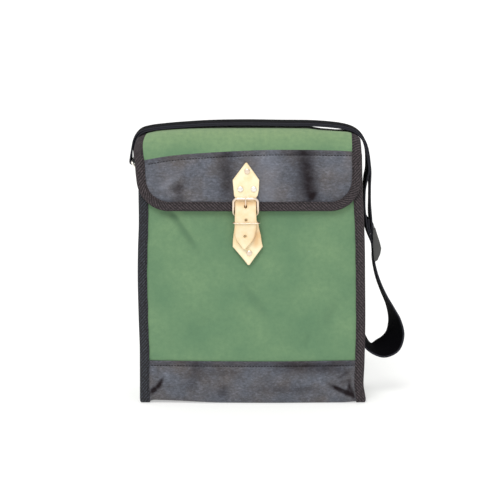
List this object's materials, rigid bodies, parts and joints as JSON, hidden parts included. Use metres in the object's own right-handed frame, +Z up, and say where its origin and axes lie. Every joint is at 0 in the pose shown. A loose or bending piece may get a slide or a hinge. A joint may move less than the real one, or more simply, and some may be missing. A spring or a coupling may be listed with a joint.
{
  "type": "canvas bag",
  "caption": "Upright canvas shoulder bag: buckled flap, vinyl foot and flap facing, bound seams, pale leather closure strap, webbing shoulder strap laid over the top and hanging in a loop.",
  "frame": {"origin": "middle of the base, on the surface that the bag stands on", "axes": "+X to the right of a viewer who faces the flap, +Y from the front to the back, +Z up"},
  "size_m": [0.3333, 0.1068, 0.3384],
  "materials": {
    "canvas": "matt sage green plain-weave canvas",
    "vinyl": "black grained leathercloth with a soft sheen",
    "tape": "dark grey twill binding tape",
    "leather": "pale vegetable-tanned leather",
    "nickel": "nickel-plated wire and rivets",
    "webbing": "black woven webbing",
    "plastic": "dark grey moulded plastic"
  },
  "bodies": {
    "root": {"front_panel": "canvas", "back_flap_panel": "canvas", "gusset_left": "canvas", "gusset_right": "canvas", "base_vinyl": "vinyl", "flap_vinyl": "vinyl", "side_binding_left": "tape", "side_binding_right": "tape", "flap_binding": "tape", "closure_strap": "leather", "buckle_tab": "leather", "buckle_frame": "nickel", "buckle_prong": "nickel", "wire_keeper": "nickel", "rivet_upper": "nickel", "rivet_left": "nickel", "rivet_right": "nickel", "rivet_lower": "nickel", "strap_ring": "nickel", "shoulder_strap": "webbing", "ring_tab": "webbing", "strap_slide": "plastic"}
  },
  "joints": []
}
